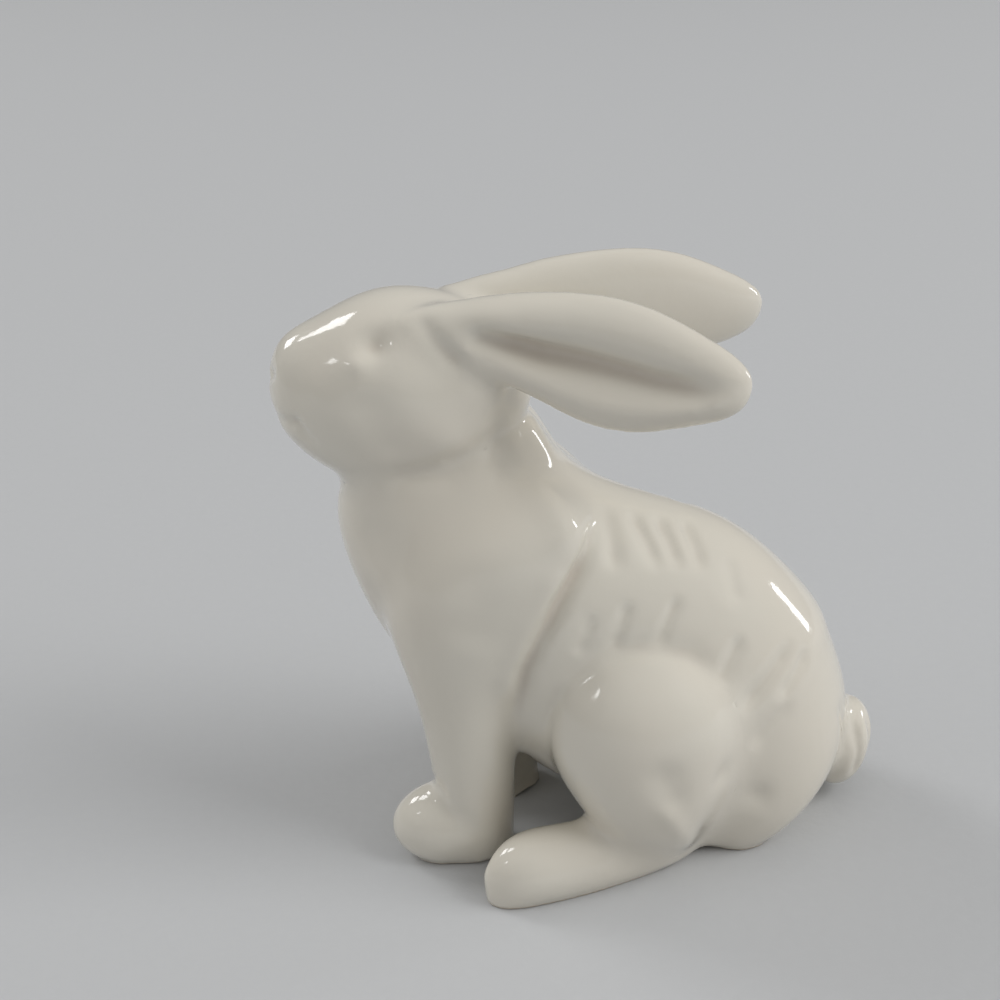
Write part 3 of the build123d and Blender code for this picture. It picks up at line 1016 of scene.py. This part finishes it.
class RABBIT_OT_fuse_skin(bpy.types.Operator):
    """Fuse the castings into one skin and model the relief on it"""

    bl_idname = "rabbit.fuse_skin"
    bl_label = "Fuse skin"

    def execute(self, context):
        clay = context.scene.rabbit_clay
        raw = fused_mesh(clay.voxel * (1.0))
        skin = Skin(raw)
        bpy.data.meshes.remove(raw)
        skin.smooth(RAW_ROUNDS)
        crisp = joint_shares(skin, (CRISP_JOINTS, mirrored), (CRISP_EARS, far_ear))
        skin.fill_joints(1 - crisp, clay.fillet_rounds)
        deep = joint_shares(skin, (DEEP_JOINTS, mirrored))
        skin.fill_joints(deep, 2 * clay.fillet_rounds)
        model_relief(skin, ((EAR_FORM, far_ear),), clay.relief)
        melted = joint_shares(
            skin, (MELTED_JOINTS, mirrored), (MELTED_PAWS, far_leg), (MELTED_EARS, far_ear)
        )
        skin.melt(melted, MELT_ROUNDS)
        skin.smooth(FORMED_ROUNDS)
        reliefs = (
            (HEAD_RELIEF, mirrored),
            (EAR_RELIEF, far_ear),
            (SHOULDER_RELIEF, far_leg),
            (FAR_PAW_RELIEF, list),
            (FLANK_RELIEF, mirrored),
        )
        model_relief(skin, reliefs, clay.relief)
        skin.smooth(FINISHED_ROUNDS)
        bare = skin.flatten_soles()
        labels = casting_labels(skin)
        straighten_borders(skin, labels)
        mesh = bpy.data.meshes.new(SKIN_NAME)
        mesh.from_pydata((skin.points * MM).tolist(), [], skin.quads.tolist())
        for name, kind, domain, values in (
            ("hollow", "FLOAT", "POINT", skin.hollowness()),
            ("bare", "FLOAT", "POINT", bare),
            ("casting", "INT", "FACE", labels.astype(np.int32)),
        ):
            mesh.attributes.new(name, kind, domain).data.foreach_set("value", values)
        shape = bmesh.new()
        shape.from_mesh(mesh)
        shape.normal_update()
        open_vent(shape, shape.verts.layers.float["bare"])
        shape.normal_update()
        carried = shape.verts.layers.float_vector.new("skin_normal")
        for vert in shape.verts:
            vert[carried] = vert.normal
        shape.to_mesh(mesh)
        shape.free()
        return {"FINISHED"}


class PieceOperator:
    """Parts the named pieces from the skin."""

    pieces = ()

    def execute(self, context):
        for name in self.pieces:
            glazed_piece(name)
        return {"FINISHED"}


class RABBIT_OT_torso(PieceOperator, bpy.types.Operator):
    """Part and glaze the torso"""

    bl_idname = "rabbit.torso"
    bl_label = "Torso"
    pieces = ("rabbit_torso",)


class RABBIT_OT_head(PieceOperator, bpy.types.Operator):
    """Part and glaze the head"""

    bl_idname = "rabbit.head"
    bl_label = "Head"
    pieces = ("rabbit_head",)


class RABBIT_OT_ears(PieceOperator, bpy.types.Operator):
    """Part and glaze both ears"""

    bl_idname = "rabbit.ears"
    bl_label = "Ears"
    pieces = ("rabbit_left_ear", "rabbit_right_ear")


class RABBIT_OT_forelegs(PieceOperator, bpy.types.Operator):
    """Part and glaze both forelegs"""

    bl_idname = "rabbit.forelegs"
    bl_label = "Forelegs"
    pieces = ("rabbit_left_foreleg", "rabbit_right_foreleg")


class RABBIT_OT_haunches(PieceOperator, bpy.types.Operator):
    """Part and glaze both haunches"""

    bl_idname = "rabbit.haunches"
    bl_label = "Haunches"
    pieces = ("rabbit_left_haunch", "rabbit_right_haunch")


class RABBIT_OT_hind_feet(PieceOperator, bpy.types.Operator):
    """Part and glaze both hind feet"""

    bl_idname = "rabbit.hind_feet"
    bl_label = "Hind feet"
    pieces = ("rabbit_left_hind_foot", "rabbit_right_hind_foot")


class RABBIT_OT_tail(PieceOperator, bpy.types.Operator):
    """Part and glaze the tail"""

    bl_idname = "rabbit.tail"
    bl_label = "Tail"
    pieces = ("rabbit_tail",)


# Lamps: direction from the figurine as azimuth and elevation in degrees, distance and size in
# metres
KEY_LAMP = (72.0, 36.0, 2.0, (1.1, 1.1))
TOP_LAMP = (20.0, 70.0, 2.0, (3.2, 3.2))
FILL_LAMP = (-102.0, 16.0, 2.0, (3.4, 2.2))
# Panes of the windows, each with its share of the panes' power
WINDOW_PANES = (
    (1.2, (-128.0, 30.0, 2.0, (0.50, 0.38))),
    (1.2, (-128.0, 46.0, 2.0, (0.50, 0.38))),
    (0.15, (-74.0, 36.0, 2.0, (0.14, 0.18))),
    (1.0, (105.0, 10.0, 2.0, (0.20, 0.46))),
)
LAMP_AIM = (0.0, 0.0, 0.022)
SKY_COLOUR = (1.0, 0.985, 0.97, 1.0)
# Camera: place, sensor in millimetres and nearest sight in metres, tilt and roll in degrees
EYE = (-0.0067033, -0.12006, 0.08366)
EYE_TILT = 66.2
EYE_ROLL = -4.35
EYE_SENSOR = 36.0
EYE_NEAR = 0.005
FLOOR_SIZE = 4.0


def soft_lamp(name, place, power, mirrored_in_glaze=False):
    """A flat lamp aimed at the figurine; the glaze mirrors a window pane but no soft box."""
    azimuth, elevation, distance, size = place
    turn, climb = math.radians(azimuth), math.radians(elevation)
    level = math.cos(climb)
    way = Vector((math.sin(turn) * level, -math.cos(turn) * level, math.sin(climb)))
    light = bpy.data.lights.new(name, "AREA")
    light.shape = "RECTANGLE"
    light.size, light.size_y = size
    light.energy = power
    lamp = bpy.data.objects.new(name, light)
    lamp.location = Vector(LAMP_AIM) + way * distance
    lamp.rotation_euler = way.to_track_quat("Z", "Y").to_euler()
    lamp.visible_glossy = mirrored_in_glaze
    bpy.context.scene.collection.objects.link(lamp)


class RABBIT_OT_stage(bpy.types.Operator):
    """Lay the floor and set the lamps and the camera"""

    bl_idname = "rabbit.stage"
    bl_label = "Stage"

    def execute(self, context):
        scene = context.scene
        stage = scene.rabbit_stage
        shape = bmesh.new()
        bmesh.ops.create_grid(shape, x_segments=1, y_segments=1, size=FLOOR_SIZE / 2)
        mesh = bpy.data.meshes.new("floor")
        shape.to_mesh(mesh)
        shape.free()
        mesh.materials.append(floor_material(stage.floor))
        floor = bpy.data.objects.new("floor", mesh)
        scene.collection.objects.link(floor)
        soft_lamp("key_lamp", KEY_LAMP, stage.key_power)
        soft_lamp("top_lamp", TOP_LAMP, stage.top_power)
        soft_lamp("fill_lamp", FILL_LAMP, stage.fill_power)
        for count, (share, pane) in enumerate(WINDOW_PANES):
            power = share * stage.pane_power
            soft_lamp(f"window_pane_{count}", pane, power, mirrored_in_glaze=True)
        world = bpy.data.worlds.new("even_light")
        world.use_nodes = True
        sky = world.node_tree.nodes["Background"]
        sky.inputs["Color"].default_value = SKY_COLOUR
        sky.inputs["Strength"].default_value = stage.sky
        scene.world = world
        lens = bpy.data.cameras.new("camera")
        lens.lens = stage.lens
        lens.sensor_width = EYE_SENSOR
        lens.clip_start = EYE_NEAR
        camera = bpy.data.objects.new("camera", lens)
        tilt = Matrix.Rotation(math.radians(EYE_TILT), 4, "X")
        roll = Matrix.Rotation(math.radians(EYE_ROLL), 4, "Z")
        camera.matrix_world = Matrix.Translation(EYE) @ tilt @ roll
        scene.collection.objects.link(camera)
        scene.camera = camera
        scene.view_settings.view_transform = "Standard"
        return {"FINISHED"}


class RABBIT_PT_panel(bpy.types.Panel):
    """The steps of the figurine, in order"""

    bl_idname = "RABBIT_PT_panel"
    bl_label = "Ceramic rabbit"
    bl_space_type = "VIEW_3D"
    bl_region_type = "UI"
    bl_category = "Rabbit"

    def draw(self, context):
        scene = context.scene
        for settings in (scene.rabbit_clay, scene.rabbit_glaze, scene.rabbit_stage):
            box = self.layout.box()
            for name in settings.__annotations__:
                box.prop(settings, name)
        for operator in OPERATORS:
            self.layout.operator(operator.bl_idname)


SETTINGS = {"rabbit_clay": ClaySettings, "rabbit_glaze": GlazeSettings, "rabbit_stage": StageSettings}
OPERATORS = (
    RABBIT_OT_fuse_skin,
    RABBIT_OT_torso,
    RABBIT_OT_head,
    RABBIT_OT_ears,
    RABBIT_OT_forelegs,
    RABBIT_OT_haunches,
    RABBIT_OT_hind_feet,
    RABBIT_OT_tail,
    RABBIT_OT_stage,
)


def register():
    for group in (*SETTINGS.values(), *OPERATORS, RABBIT_PT_panel):
        bpy.utils.register_class(group)
    for name, group in SETTINGS.items():
        setattr(bpy.types.Scene, name, PointerProperty(type=group))


def unregister():
    for name in SETTINGS:
        delattr(bpy.types.Scene, name)
    for group in (RABBIT_PT_panel, *reversed(OPERATORS), *SETTINGS.values()):
        bpy.utils.unregister_class(group)


def main():
    register()
    bpy.ops.rabbit.fuse_skin()
    bpy.ops.rabbit.torso()
    bpy.ops.rabbit.head()
    bpy.ops.rabbit.ears()
    bpy.ops.rabbit.forelegs()
    bpy.ops.rabbit.haunches()
    bpy.ops.rabbit.hind_feet()
    bpy.ops.rabbit.tail()
    bpy.ops.rabbit.stage()
    bpy.data.meshes.remove(bpy.data.meshes[SKIN_NAME])


if __name__ == "__main__":
    main()
